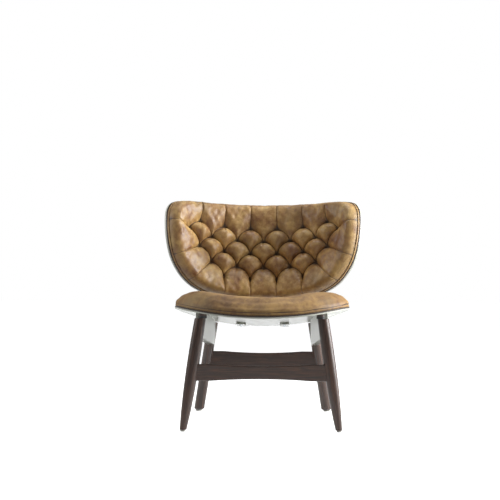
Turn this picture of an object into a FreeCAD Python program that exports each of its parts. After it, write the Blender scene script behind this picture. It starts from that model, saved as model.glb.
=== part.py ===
import FreeCAD, Part
import math
import os

from FreeCAD import Rotation, Vector

Vector2d = FreeCAD.Base.Vector2d

# Low upholstered lounge chair: a turned walnut underframe, a dished seat pan and a curved, tufted
# back shell. Millimetres, +Z up, the sitter faces -Y. The origin is on the floor, at the middle of
# the chair's overall box. Left is -X and right is +X; everything is a mirror image about X = 0.

# --- Overall ------------------------------------------------------------------------------------
SEAT_RIM_HEIGHT = 366.0          # top of the seat pan's shell at the middle of its front edge
BACK_TILT = 17.0                 # degrees that the back shell leans to the rear
MACHINING_CLEARANCE = 0.1        # round a stud, dowel, tenon, screw or tuft shank in its hole

# --- Front legs ---------------------------------------------------------------------------------
FRONT_FOOT = Vector(250.0, -270.0, 0.0)
FRONT_TOP_DROP = 5.0             # from the pan's front rim down to the leg's top
FRONT_TOP = Vector(198.5, -235.0, SEAT_RIM_HEIGHT - FRONT_TOP_DROP)
FRONT_FOOT_RADIUS = 10.5
FRONT_BELLY_RADIUS = 19.5
FRONT_BELLY_HEIGHT = 165.0
FRONT_HEAD_RADIUS = 18.0

# --- Rear legs ----------------------------------------------------------------------------------
REAR_FOOT = Vector(240.0, 310.0, 0.0)
REAR_TOP_DROP = 31.0             # from the pan's front rim down to the leg's end
REAR_TOP = Vector(183.0, 200.0, SEAT_RIM_HEIGHT - REAR_TOP_DROP)
REAR_LEG_RADIUS = 19.0
REAR_FOOT_CHAMFER = 4.0

# --- Foot glides --------------------------------------------------------------------------------
GLIDE_HEIGHT = 6.0
FRONT_GLIDE_RADIUS = 8.5
REAR_GLIDE_RADIUS = 13.0
GLIDE_PIN_RADIUS = 2.0
GLIDE_PIN_LENGTH = 14.0

# --- Stretchers ---------------------------------------------------------------------------------
STRETCHER_THICKNESS = 24.0
STRETCHER_DEPTH = 53.0           # top to bottom at the ends
REAR_STRETCHER_DEPTH = 62.0
STRETCHER_DIP = 6.0              # how far each long edge curves in at the middle
STRETCHER_FLAT = 62.0            # straight length at each end, from the leg's axis
STRETCHER_ROUND = 3.0
FRONT_STRETCHER_HEIGHT = 187.5   # middle line above the floor
REAR_STRETCHER_HEIGHT = 196.5
TENON_RADIUS = 8.0
TENON_PAST_AXIS = 6.0            # how far a tenon reaches beyond the leg's axis

# --- Side rails ---------------------------------------------------------------------------------
RAIL_THICKNESS = 26.0
RAIL_DEPTH = 82.0                # from the pan's underside to the rail's lower edge
RAIL_FRONT_X = 202.0
RAIL_REAR_X = 186.5
RAIL_CANT = 4.0                  # degrees that the rail leans in at the top
RAIL_ROUND = 3.0
DOWEL_RADIUS = 5.0
DOWEL_IN_LEG = 15.0
DOWEL_IN_RAIL = 26.0

# --- Neck between a front leg and the pan -------------------------------------------------------
NECK_INSET = 8.0                 # how far the neck stands in from the leg's top
NECK_SPACER_RADIUS = 13.5
NECK_SPACER_HEIGHT = 8.0
NECK_BLOCK_RADIUS = 13.0
STUD_RADIUS = 4.0
STUD_IN_LEG = 34.0
STUD_IN_BOARD = 3.0

# --- Seat ---------------------------------------------------------------------------------------
SEAT_FRONT_Y = -300.0
SEAT_WIDEST_Y = -70.0
SEAT_REAR_Y = 196.0
SEAT_HALF_WIDTH = 294.0
SEAT_SQUARENESS = 2.35           # exponent of the outline: 2 is an ellipse, more is squarer
SEAT_SIDE_RISE = 0.40e-3         # rise to the sides, times x squared
SEAT_REAR_FALL = 0.16e-3         # fall to the rear, times the squared distance from the front
SEAT_SHELL_THICKNESS = 4.0
SEAT_BOARD_THICKNESS = 4.5
SEAT_BAND_HEIGHT = 8.5
SEAT_PAD_HEIGHT = 56.0           # above the band
SEAT_PAD_ROUND = 38.0
SEAT_LEATHER = 3.0

# --- Back ---------------------------------------------------------------------------------------
BACK_RADIUS = 430.0              # outside of the shell
BACK_RISE = 24.0                 # from the pan's front rim up to the shell's foot
BACK_BASE = Vector(0.0, 265.0, SEAT_RIM_HEIGHT + BACK_RISE)
BACK_SHELL_THICKNESS = 6.0
BACK_BOARD_THICKNESS = 4.5
BACK_BAND_HEIGHT = 8.5
BACK_PAD_HEIGHT = 36.0           # above the band
BACK_LEATHER = 3.0
BAND_WIDTH = 14.0
PAD_SETBACK = 1.5                # pads and bands stand in from the edge of their board

# Right half of the back's outline on the unrolled shell: distance round from the middle, and
# height up the shell, from the middle of the lower edge to the middle of the upper edge.
BACK_OUTLINE = [
    (0.0, 20.0), (142.0, 23.0), (248.0, 39.0), (307.0, 62.0), (350.0, 94.0), (386.0, 137.0),
    (411.0, 200.0), (422.0, 268.0), (417.0, 313.0), (397.0, 343.0), (354.0, 364.0),
    (294.0, 377.0), (193.0, 390.0), (0.0, 399.0),
]
OUTLINE_SPANS = 4                # edges in each half of the outline

# --- Tufting ------------------------------------------------------------------------------------
TUFT_PITCH = 109.0
# Row name, height up the shell, tufts in the row, and lift of the row's two end tufts.
TUFT_ROWS = [
    ("top", 292.0, 6, 3.0),
    ("upper", 243.5, 7, 14.0),
    ("middle", 194.0, 6, 7.0),
    ("lower", 142.0, 5, 7.0),
    ("bottom", 94.0, 4, 4.0),
]
TUFT_POCKET_RADIUS = 7.5
TUFT_BUTTON_RADIUS = 6.0
TUFT_BUTTON_HEIGHT = 4.0
TUFT_DEPTH = 26.0                # from the pad's face down to the button's face
TUFT_SHANK_RADIUS = 1.5

# --- Back brackets ------------------------------------------------------------------------------
BRACKET_X = 78.0
BRACKET_WIDTH = 32.0
BRACKET_THICKNESS = 4.0
BRACKET_FRONT_Y = 110.0
BRACKET_BEND_RADIUS = 16.0
BRACKET_TOP_HEIGHT = 150.0       # up the shell
BRACKET_HEEL_UP = 30.0           # up the shell, where the bar turns up behind it
BRACKET_STANDOFF = 1.2           # least thickness of the pads under the bracket
SCREW_RADIUS = 2.5
SCREW_HEAD_RADIUS = 5.5
SCREW_HEAD_HEIGHT = 3.0
SCREW_IN_BOARD = 3.0
LOWER_SCREW_Y = [124.0, 160.0]
UPPER_SCREW_HEIGHTS = [70.0, 130.0]

BIG = 2000.0                     # side of the blocks used for trimming
NODES = {}


# --- Helpers ------------------------------------------------------------------------------------
def mirrored(shape):
    """The same shape on the left side."""
    return shape.mirror(Vector(0, 0, 0), Vector(1, 0, 0))


def add_pair(name, right):
    """Store a right-hand piece and its mirror image."""
    NODES[name + "_right"] = right
    NODES[name + "_left"] = mirrored(right)


def block(low, high):
    """A box between two corners."""
    size = high - low
    return Part.makeBox(size.x, size.y, size.z, low)


def above(height):
    """Everything above a height."""
    return block(Vector(-BIG, -BIG, height), Vector(BIG, BIG, height + BIG))


def below(height):
    """Everything below a height."""
    return block(Vector(-BIG, -BIG, height - BIG), Vector(BIG, BIG, height))


def on_axis(foot, top, height):
    """The point of a leg's axis at a height above the floor."""
    return foot + (top - foot) * ((height - foot.z) / (top.z - foot.z))


def rod(start, end, radius):
    """A round bar between two points."""
    run = end - start
    return Part.makeCylinder(radius, run.Length, start, run)


def turned(foot, top, profile):
    """A turned bar: profile gives radii against distance from the foot along the axis."""
    curve = Part.BSplineCurve()
    curve.interpolate([Vector(radius, 0, distance) for distance, radius in profile])
    first = Vector(0, 0, profile[0][0])
    last = Vector(0, 0, profile[-1][0])
    edges = [
        curve.toShape(),
        Part.makeLine(Vector(profile[-1][1], 0, last.z), last),
        Part.makeLine(last, first),
        Part.makeLine(first, Vector(profile[0][1], 0, first.z)),
    ]
    solid = Part.Face(Part.Wire(Part.__sortEdges__(edges))).revolve(Vector(), Vector(0, 0, 1), 360)
    if solid.Volume < 0:
        solid.reverse()
    turn = Rotation(Vector(0, 0, 1), top - foot)
    solid.Placement = FreeCAD.Placement(foot, turn)
    return solid


# --- Legs ---------------------------------------------------------------------------------------
LEG_SPARE = 12.0                 # extra length at each end, trimmed off


def front_leg_blank():
    """Tapered front leg, cut level at both ends."""
    length = (FRONT_TOP - FRONT_FOOT).Length
    lean = length / FRONT_TOP.z
    belly = FRONT_BELLY_HEIGHT * lean
    shin_radius = FRONT_FOOT_RADIUS + 0.56 * (FRONT_BELLY_RADIUS - FRONT_FOOT_RADIUS)
    profile = [
        (-LEG_SPARE, FRONT_FOOT_RADIUS - 0.9),
        (0.0, FRONT_FOOT_RADIUS),
        (belly * 0.4, shin_radius),
        (belly, FRONT_BELLY_RADIUS),
        (length, FRONT_HEAD_RADIUS),
        (length + LEG_SPARE, FRONT_HEAD_RADIUS - 0.3),
    ]
    leg = turned(FRONT_FOOT, FRONT_TOP, profile)
    return leg.cut(below(GLIDE_HEIGHT)).cut(above(FRONT_TOP.z))


def rear_leg_blank():
    """Straight rear leg that runs up to the underside of the pan."""
    reach = (REAR_TOP - REAR_FOOT) * (1.0 + 3 * LEG_SPARE / REAR_TOP.z)
    leg = rod(REAR_FOOT - reach * 0.1, REAR_FOOT + reach, REAR_LEG_RADIUS)
    leg = leg.cut(below(GLIDE_HEIGHT))
    foot_edges = [edge for edge in leg.Edges if edge.BoundBox.ZMax < GLIDE_HEIGHT + 0.1]
    leg = leg.makeChamfer(REAR_FOOT_CHAMFER, foot_edges)
    return leg.cut(pan_space())


def glide(centre, radius):
    """Plastic glide with a pin driven up into the leg."""
    disc = Part.makeCone(radius - 1.0, radius, GLIDE_HEIGHT, centre)
    pin = Part.makeCylinder(GLIDE_PIN_RADIUS, GLIDE_HEIGHT + GLIDE_PIN_LENGTH, centre)
    return disc.fuse(pin).removeSplitter()


def pin_hole(centre):
    """Hole in the leg for a glide's pin."""
    radius = GLIDE_PIN_RADIUS + MACHINING_CLEARANCE
    return Part.makeCylinder(radius, GLIDE_HEIGHT + GLIDE_PIN_LENGTH + 1.0, centre)


# --- Stretchers ---------------------------------------------------------------------------------
def long_edge(half_length, height, dip):
    """One long edge of a stretcher: straight at the ends, with a shallow arc between."""
    waist = half_length - STRETCHER_FLAT
    left = Vector(-waist, 0, height)
    right = Vector(waist, 0, height)
    return [
        Part.makeLine(Vector(-half_length, 0, height), left),
        Part.Arc(left, Vector(0, 0, height - dip), right).toShape(),
        Part.makeLine(right, Vector(half_length, 0, height)),
    ]


def stretcher(foot, top, height, depth, legs):
    """Plank between two legs, shouldered on their faces, with a round tenon at each end."""
    centre = on_axis(foot, top, height)
    half_depth = depth / 2
    edges = long_edge(centre.x, half_depth, STRETCHER_DIP) + long_edge(centre.x, -half_depth, -STRETCHER_DIP)
    for side in (-1, 1):
        x = side * centre.x
        edges.append(Part.makeLine(Vector(x, 0, -half_depth), Vector(x, 0, half_depth)))
    face = Part.Face(Part.Wire(Part.__sortEdges__(edges)))
    plank = face.extrude(Vector(0, STRETCHER_THICKNESS, 0))
    plank.translate(Vector(0, centre.y - STRETCHER_THICKNESS / 2, height))
    ends = centre.x - 1.0
    corners = [edge for edge in plank.Edges
               if abs(edge.CenterOfMass.x) < ends and edge.BoundBox.YLength < 1.0]
    plank = plank.makeFillet(STRETCHER_ROUND, corners)
    for leg in legs:
        plank = plank.cut(leg)
    plank = max(plank.Solids, key=lambda solid: solid.Volume)
    return plank.fuse(tenon(centre, 0.0)).removeSplitter()


def tenon(centre, clearance):
    """Bar along X whose two ends are the tenons; with a clearance, it cuts their holes."""
    end = centre.x + TENON_PAST_AXIS + 10 * clearance
    left = Vector(-end, centre.y, centre.z)
    right = Vector(end, centre.y, centre.z)
    return rod(left, right, TENON_RADIUS + clearance)


# --- Seat pan -----------------------------------------------------------------------------------
def pan_height(x, y):
    """Height of the top of the seat shell; every seat layer repeats this surface."""
    return SEAT_RIM_HEIGHT + SEAT_SIDE_RISE * x ** 2 - SEAT_REAR_FALL * (y - SEAT_FRONT_Y) ** 2


def pan_surface():
    """The dished surface as one exact second-degree patch, larger than the seat."""
    half = SEAT_HALF_WIDTH + 40.0
    near = -60.0
    far = SEAT_REAR_Y - SEAT_FRONT_Y + 60.0
    patch = Part.BezierSurface()
    patch.increase(2, 2)
    xs = [(-half, half ** 2), (0.0, -half ** 2), (half, half ** 2)]
    ys = [(near, near ** 2), ((near + far) / 2, near * far), (far, far ** 2)]
    for i, (x, x_squared) in enumerate(xs, 1):
        for j, (y, y_squared) in enumerate(ys, 1):
            z = SEAT_RIM_HEIGHT + SEAT_SIDE_RISE * x_squared - SEAT_REAR_FALL * y_squared
            patch.setPole(i, j, Vector(x, SEAT_FRONT_Y + y, z))
    return patch.toShape()


def pan_slab(low, high):
    """Space between two copies of the dished surface, by their heights above the shell's top."""
    sheet = pan_surface()
    sheet.translate(Vector(0, 0, low))
    return sheet.extrude(Vector(0, 0, high - low))


def pan_space():
    """Everything that the pan takes up, upwards from its underside."""
    return pan_slab(-SEAT_SHELL_THICKNESS, 200.0)


def seat_outline(inset):
    """Prism of the seat's plan outline, drawn in by an inset."""
    half_width = SEAT_HALF_WIDTH - inset
    front = SEAT_WIDEST_Y - SEAT_FRONT_Y - inset
    rear = SEAT_REAR_Y - SEAT_WIDEST_Y - inset
    power = 2.0 / SEAT_SQUARENESS
    steps = 20
    points = []
    for step in range(steps):
        turn = 2 * math.pi * (step + 0.5) / steps
        across = math.sin(turn)
        along = math.cos(turn)
        depth = rear if along > 0 else front
        x = half_width * math.copysign(abs(across) ** power, across)
        y = SEAT_WIDEST_Y + depth * math.copysign(abs(along) ** power, along)
        points.append(Vector(x, y, 0))
    curve = Part.BSplineCurve()
    curve.interpolate(Points=points, PeriodicFlag=True)
    return Part.Face(Part.Wire(curve.toShape())).extrude(Vector(0, 0, 900.0))


def seat_layer(low, high, inset):
    """One layer of the seat, by its heights above the shell's top."""
    layer = pan_slab(low, high).common(seat_outline(inset))
    return layer.Solids[0]


def rounded_pad(low, high, inset, radius):
    """Cushion layer whose upper edge is rounded over."""
    pad = seat_layer(low, high, inset)
    middle = (low + high) / 2
    rim = [edge for edge in pad.Edges
           if edge.Length > 200.0
           and edge.CenterOfMass.z > pan_height(0.0, SEAT_WIDEST_Y) + middle]
    return pad.makeFillet(radius, rim)


def make_seat():
    """Shell, board, leather band, foam and leather cover of the seat."""
    board_top = SEAT_BOARD_THICKNESS
    band_top = board_top + SEAT_BAND_HEIGHT
    pad_top = band_top + SEAT_PAD_HEIGHT
    NODES["seat_shell"] = seat_layer(-SEAT_SHELL_THICKNESS, 0.0, 0.0)
    NODES["seat_board"] = seat_layer(0.0, board_top, 0.0)
    core = seat_outline(BAND_WIDTH)
    NODES["seat_band"] = seat_layer(board_top, band_top, PAD_SETBACK).cut(core)
    foam_round = SEAT_PAD_ROUND - SEAT_LEATHER
    foam_top = rounded_pad(band_top, pad_top - SEAT_LEATHER, PAD_SETBACK + SEAT_LEATHER, foam_round)
    pad = rounded_pad(band_top, pad_top, PAD_SETBACK, SEAT_PAD_ROUND)
    NODES["seat_cover"] = pad.cut(foam_top)
    foam_base = pan_slab(board_top, band_top).common(core)
    NODES["seat_foam"] = foam_top.fuse(foam_base).removeSplitter()


# --- Back ---------------------------------------------------------------------------------------
def back_placement():
    """Carries the shell's own frame, a cylinder about its Z axis, to its place in the chair."""
    turn = Rotation(Vector(1, 0, 0), -BACK_TILT)
    return FreeCAD.Placement(BACK_BASE - turn.multVec(Vector(0, BACK_RADIUS, 0)), turn)


def placed_back(shape):
    """A copy of a shape drawn in the shell's own frame, moved to its place."""
    copy = shape.copy()
    copy.Placement = back_placement().multiply(copy.Placement)
    return copy


def back_outline(inset):
    """Edges of the outline on the unrolled shell, drawn in by an inset square to each stretch.

    The right half runs from the middle of the lower edge to the middle of the upper one, cut into
    a few spans; the left half is its mirror image and runs on from there.
    """
    count = len(BACK_OUTLINE)
    points = []
    for index, (round_, up) in enumerate(BACK_OUTLINE):
        before = BACK_OUTLINE[max(index - 1, 0)]
        after = BACK_OUTLINE[min(index + 1, count - 1)]
        along = Vector(after[0] - before[0], after[1] - before[1], 0).normalize()
        if index in (0, count - 1):
            along = Vector(1 if index == 0 else -1, 0, 0)
        points.append(Vector2d(round_ - along.y * inset, up + along.x * inset))
    half = Part.Geom2d.BSplineCurve2d()
    half.interpolate(Points=points, InitialTangent=Vector2d(1, 0), FinalTangent=Vector2d(-1, 0))
    first = half.FirstParameter
    span = (half.LastParameter - first) / OUTLINE_SPANS
    right = []
    for index in range(OUTLINE_SPANS):
        piece = half.copy()
        piece.segment(first + span * index, first + span * (index + 1))
        right.append(piece)
    return [(piece, 1) for piece in right] + [(piece, -1) for piece in reversed(right)]


def wrapped(piece, side):
    """A span of the unrolled outline as a curve in a cylinder's angle and height."""
    poles = []
    for pole in piece.getPoles():
        poles.append(Vector2d(math.pi / 2 - side * pole.x / BACK_RADIUS, pole.y))
    curve = Part.Geom2d.BSplineCurve2d()
    curve.buildFromPolesMultsKnots(poles, piece.getMultiplicities(), piece.getKnots(), False, piece.Degree)
    return curve


def back_face(radius, inset):
    """The outline wrapped round a cylinder of a given radius."""
    cylinder = Part.Cylinder()
    cylinder.Radius = radius
    edges = [wrapped(piece, side).toShape(cylinder) for piece, side in back_outline(inset)]
    face = Part.Face(cylinder, Part.Wire(Part.__sortEdges__(edges)))
    face.fix(1e-4, 1e-4, 1e-3)
    return face


def back_layer(outer, inner, inset):
    """One layer of the back between two depths from the shell's outside, edges square to it."""
    outside = back_face(BACK_RADIUS - outer, inset)
    inside = back_face(BACK_RADIUS - inner, inset)
    faces = [outside, inside]
    for edges in zip(outside.OuterWire.OrderedEdges, inside.OuterWire.OrderedEdges):
        faces.append(Part.makeRuledSurface(*edges))
    shell = Part.makeShell(faces)
    shell.sewShape()
    solid = Part.Solid(Part.Shell(shell.Faces))
    if solid.Volume < 0:
        solid.reverse()
    return solid


def tuft_places(height, count, lift):
    """Distance round and height of each tuft in a row."""
    places = []
    for index in range(count):
        steps = index - (count - 1) / 2
        end = index in (0, count - 1)
        places.append((steps * TUFT_PITCH, height + (lift if end else 0.0)))
    return places


def radial_rod(round_, up, outer, inner, radius):
    """Round bar square to the shell, between two depths from its outside."""
    angle = round_ / BACK_RADIUS
    direction = Vector(math.sin(angle), math.cos(angle), 0)
    base = direction * (BACK_RADIUS - inner) + Vector(0, 0, up)
    return Part.makeCylinder(radius, inner - outer, base, direction)


def make_back():
    """Shell, board, leather band, foam, leather cover and tufts of the back."""
    board_outside = BACK_SHELL_THICKNESS
    board_inside = board_outside + BACK_BOARD_THICKNESS
    band_inside = board_inside + BACK_BAND_HEIGHT
    pad_face = band_inside + BACK_PAD_HEIGHT
    button_face = pad_face - TUFT_DEPTH
    button_back = button_face - TUFT_BUTTON_HEIGHT
    shank_end = board_inside - BACK_BOARD_THICKNESS * 0.6

    pockets = []
    shank_holes = []
    for name, height, count, lift in TUFT_ROWS:
        buttons = []
        for round_, up in tuft_places(height, count, lift):
            button = radial_rod(round_, up, button_back, button_face, TUFT_BUTTON_RADIUS)
            shank = radial_rod(round_, up, shank_end, button_face, TUFT_SHANK_RADIUS)
            buttons.append(placed_back(button.fuse(shank).removeSplitter()))
            hole_radius = TUFT_SHANK_RADIUS + MACHINING_CLEARANCE
            pockets.append(radial_rod(round_, up, button_back, pad_face + 20.0, TUFT_POCKET_RADIUS))
            shank_holes.append(radial_rod(round_, up, shank_end - 0.3, button_face, hole_radius))
        NODES["tufts_" + name] = Part.makeCompound(buttons)

    board = back_layer(board_outside, board_inside, 0.0).cut(shank_holes)
    rim_ring = back_layer(board_inside, band_inside, PAD_SETBACK)
    core = back_layer(board_inside, pad_face - BACK_LEATHER, BAND_WIDTH)
    cover = back_layer(band_inside, pad_face, PAD_SETBACK).cut(core)
    NODES["back_shell"] = placed_back(back_layer(0.0, board_outside, 0.0))
    NODES["back_board"] = placed_back(board)
    NODES["back_band"] = placed_back(rim_ring.cut(core))
    NODES["back_foam"] = placed_back(core.cut(pockets + shank_holes))
    NODES["back_cover"] = placed_back(cover.cut(pockets))


# --- Underframe ---------------------------------------------------------------------------------
def rail_blank():
    """Right side rail before its ends and top are trimmed to the legs and the pan."""
    sections = []
    for x, y in ((RAIL_FRONT_X, FRONT_TOP.y), (RAIL_REAR_X, REAR_TOP.y)):
        seat = pan_height(x, y) - SEAT_SHELL_THICKNESS
        middle = seat - RAIL_DEPTH / 2
        corners = []
        for side, z in ((-1, seat - RAIL_DEPTH), (1, seat - RAIL_DEPTH), (1, seat + 15.0), (-1, seat + 15.0)):
            lean = (z - middle) * math.tan(math.radians(RAIL_CANT))
            corners.append(Vector(x + side * RAIL_THICKNESS / 2 - lean, y, z))
        sections.append(Part.makePolygon(corners + corners[:1]))
    rail = Part.makeLoft(sections, True, True)
    lower = [edge for edge in rail.Edges
             if edge.BoundBox.YLength > 200.0
             and edge.CenterOfMass.z < pan_height(RAIL_REAR_X, 0.0) - RAIL_DEPTH / 2]
    return rail.makeFillet(RAIL_ROUND, lower)


def rail_dowel(foot, top, other, clearance):
    """Dowel that joins a rail to a leg, along the line towards the rail's other end."""
    seat = pan_height(top.x, top.y) - SEAT_SHELL_THICKNESS
    centre = on_axis(foot, top, seat - RAIL_DEPTH / 2)
    target = other - centre
    along = Vector(target.x, target.y, target.z).normalize()
    leg_radius = REAR_LEG_RADIUS if top.z == REAR_TOP.z else FRONT_HEAD_RADIUS
    start = centre + along * (leg_radius - DOWEL_IN_LEG - 10 * clearance)
    end = centre + along * (leg_radius + DOWEL_IN_RAIL + 10 * clearance)
    return rod(start, end, DOWEL_RADIUS + clearance)


def leg_stud(x, y, leg_top, clearance):
    """Steel stud from a leg's head up into the seat board."""
    board = pan_height(x, y) + STUD_IN_BOARD
    base = Vector(x, y, leg_top - STUD_IN_LEG - 10 * clearance)
    return Part.makeCylinder(STUD_RADIUS + clearance, board - base.z + clearance, base)


def make_underframe():
    """Legs, glides, stretchers, side rails, necks, studs and dowels."""
    front_blank = front_leg_blank()
    rear_blank = rear_leg_blank()
    add_pair("front_glide", glide(FRONT_FOOT, FRONT_GLIDE_RADIUS))
    add_pair("rear_glide", glide(REAR_FOOT, REAR_GLIDE_RADIUS))

    front_pair = [front_blank, mirrored(front_blank)]
    rear_pair = [rear_blank, mirrored(rear_blank)]
    NODES["front_stretcher"] = stretcher(
        FRONT_FOOT, FRONT_TOP, FRONT_STRETCHER_HEIGHT, STRETCHER_DEPTH, front_pair)
    NODES["rear_stretcher"] = stretcher(
        REAR_FOOT, REAR_TOP, REAR_STRETCHER_HEIGHT, REAR_STRETCHER_DEPTH, rear_pair)

    neck = Vector(FRONT_TOP.x - NECK_INSET, FRONT_TOP.y, FRONT_TOP.z)
    spacer = Part.makeCylinder(NECK_SPACER_RADIUS, NECK_SPACER_HEIGHT, neck)
    block_base = neck + Vector(0, 0, NECK_SPACER_HEIGHT)
    neck_block = Part.makeCylinder(NECK_BLOCK_RADIUS, 60.0, block_base).cut(pan_space())

    rail = rail_blank().cut([front_blank, rear_blank, spacer, neck_block, pan_space()])
    rail = max(rail.Solids, key=lambda solid: solid.Volume)

    front_joint = on_axis(FRONT_FOOT, FRONT_TOP, FRONT_TOP.z - RAIL_DEPTH / 2)
    rear_joint = on_axis(REAR_FOOT, REAR_TOP, REAR_TOP.z - RAIL_DEPTH / 2)
    dowels = {"front": (FRONT_FOOT, FRONT_TOP, rear_joint), "rear": (REAR_FOOT, REAR_TOP, front_joint)}
    studs = {"front": (neck.x, neck.y, FRONT_TOP.z), "rear": (REAR_TOP.x, REAR_TOP.y, REAR_TOP.z)}
    for end in ("front", "rear"):
        add_pair("rail_dowel_" + end, rail_dowel(*dowels[end], 0.0))
        add_pair("leg_stud_" + end, leg_stud(*studs[end], 0.0))
    dowel_holes = [rail_dowel(*dowels[end], MACHINING_CLEARANCE) for end in dowels]
    stud_holes = [leg_stud(*studs[end], MACHINING_CLEARANCE) for end in studs]

    front_tenon = tenon(on_axis(FRONT_FOOT, FRONT_TOP, FRONT_STRETCHER_HEIGHT), MACHINING_CLEARANCE)
    rear_tenon = tenon(on_axis(REAR_FOOT, REAR_TOP, REAR_STRETCHER_HEIGHT), MACHINING_CLEARANCE)
    front_holes = [pin_hole(FRONT_FOOT), front_tenon] + dowel_holes + stud_holes
    rear_holes = [pin_hole(REAR_FOOT), rear_tenon] + dowel_holes + stud_holes
    add_pair("front_leg", front_blank.cut(front_holes))
    add_pair("rear_leg", rear_blank.cut(rear_holes))
    add_pair("side_rail", rail.cut(dowel_holes + stud_holes))
    add_pair("neck_spacer", spacer.cut(stud_holes))
    add_pair("neck_block", neck_block.cut(stud_holes))
    both_sides = stud_holes + [mirrored(hole) for hole in stud_holes]
    for name in ("seat_shell", "seat_board"):
        NODES[name] = NODES[name].cut(both_sides)


# --- Back brackets ------------------------------------------------------------------------------
def shell_point(x, up, depth):
    """Point of the chair at a height up the shell and a depth behind its outside, at a given X."""
    sag = BACK_RADIUS - math.sqrt(BACK_RADIUS ** 2 - x ** 2)
    return back_placement().multVec(Vector(x, BACK_RADIUS - sag + depth, up))


def bracket_path():
    """Four points of the bracket's inner face, from under the seat to behind the back."""
    widest = BRACKET_X - BRACKET_WIDTH / 2
    under = SEAT_SHELL_THICKNESS + BRACKET_STANDOFF
    front = Vector(0, BRACKET_FRONT_Y, pan_height(widest, BRACKET_FRONT_Y) - under)
    heel = Vector(0, SEAT_REAR_Y - 6.0, pan_height(widest, SEAT_REAR_Y - 6.0) - under)
    low = shell_point(widest, BRACKET_HEEL_UP, BRACKET_STANDOFF)
    high = shell_point(widest, BRACKET_TOP_HEIGHT, BRACKET_STANDOFF)
    return [front, heel, Vector(0, low.y, low.z), Vector(0, high.y, high.z)]


def bracket():
    """Right bracket: a flat steel bar bent from the pan's underside up behind the shell."""
    inner = bracket_path()
    outward = []
    for start, end in zip(inner, inner[1:]):
        run = (end - start).normalize()
        outward.append(Vector(0, run.z, -run.y))
    outer = [inner[0] + outward[0] * BRACKET_THICKNESS]
    for index in (1, 2):
        first = outward[index - 1]
        second = outward[index]
        mitre = (first + second) * (BRACKET_THICKNESS / (1.0 + first.dot(second)))
        outer.append(inner[index] + mitre)
    outer.append(inner[3] + outward[2] * BRACKET_THICKNESS)
    loop = inner + outer[::-1]
    profile = Part.Face(Part.makePolygon(loop + loop[:1]))
    bar = profile.extrude(Vector(BRACKET_WIDTH, 0, 0))
    bar.translate(Vector(BRACKET_X - BRACKET_WIDTH / 2, 0, 0))
    # The strip bends the same way twice, so the pan side of each bend has the smaller radius.
    inner_bends = [edge for edge in bar.Edges if bend_at(edge, inner[1:3])]
    bar = bar.makeFillet(BRACKET_BEND_RADIUS, inner_bends)
    outer_bends = [edge for edge in bar.Edges if bend_at(edge, outer[1:3])]
    return bar.makeFillet(BRACKET_BEND_RADIUS + BRACKET_THICKNESS, outer_bends)


def bend_at(edge, corners):
    """Whether an edge runs along X through one of some corners."""
    centre = edge.CenterOfMass
    if edge.BoundBox.XLength < BRACKET_WIDTH - 0.1:
        return False
    return any(math.hypot(centre.y - corner.y, centre.z - corner.z) < 0.01 for corner in corners)


def bracket_pads(bar_path):
    """The two fitted pads between a bracket and the pan, and between it and the shell."""
    front, heel, low, high = bar_path
    half = BRACKET_WIDTH / 2
    fill = 14.0
    lower_run = (heel - front) * 0.82
    lower_up = Vector(0, -lower_run.z, lower_run.y).normalize() * fill
    upper_run = (high - low) * 0.85
    upper_in = Vector(0, -upper_run.z, upper_run.y).normalize() * fill
    pads = []
    for start, run, across in ((front, lower_run, lower_up), (high, -upper_run, upper_in)):
        corners = [start, start + run, start + run + across, start + across]
        face = Part.Face(Part.makePolygon(corners + corners[:1]))
        pad = face.extrude(Vector(BRACKET_WIDTH, 0, 0))
        pad.translate(Vector(BRACKET_X - half, 0, 0))
        pads.append(pad)
    lower = pads[0].cut(pan_space())
    cylinder = Part.makeCylinder(BACK_RADIUS, BIG, Vector(0, 0, -BIG / 2))
    upper = pads[1].cut(placed_back(cylinder))
    return lower, upper


def screw(head_base, direction, length, clearance):
    """Pan-head screw; with a clearance, the tool that cuts its hole."""
    shank = Part.makeCylinder(SCREW_RADIUS + clearance, length + 3 * clearance, head_base, direction)
    if clearance > 0.0:
        return shank
    back = direction * -SCREW_HEAD_HEIGHT
    face_radius = SCREW_HEAD_RADIUS - 1.5
    outside = head_base + back
    head = Part.makeCone(face_radius, SCREW_HEAD_RADIUS, SCREW_HEAD_HEIGHT, outside, direction)
    return shank.fuse(head).removeSplitter()


def screw_seats(bar_path):
    """Head seat, direction and length of each of a bracket's four screws."""
    front, heel, low, high = bar_path
    lower_run = (heel - front).normalize()
    lower_in = Vector(0, -lower_run.z, lower_run.y)
    upper_run = (high - low).normalize()
    upper_in = Vector(0, -upper_run.z, upper_run.y)
    seats = {}
    for index, y in enumerate(LOWER_SCREW_Y):
        on_face = front + lower_run * ((y - front.y) / lower_run.y)
        gap = pan_height(BRACKET_X, y) - on_face.z
        seat = Vector(BRACKET_X, on_face.y, on_face.z) - lower_in * BRACKET_THICKNESS
        seats["seat_%d" % (index + 1)] = (seat, lower_in, BRACKET_THICKNESS + gap + SCREW_IN_BOARD)
    sag = shell_point(BRACKET_X, 0, 0) - shell_point(BRACKET_X - BRACKET_WIDTH / 2, 0, 0)
    gap = BRACKET_STANDOFF + math.hypot(sag.y, sag.z) + BACK_SHELL_THICKNESS
    for index, up in enumerate(UPPER_SCREW_HEIGHTS):
        on_face = low + upper_run * (up - BRACKET_HEEL_UP)
        seat = Vector(BRACKET_X, on_face.y, on_face.z) - upper_in * BRACKET_THICKNESS
        seats["back_%d" % (index + 1)] = (seat, upper_in, BRACKET_THICKNESS + gap + SCREW_IN_BOARD)
    return seats


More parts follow.
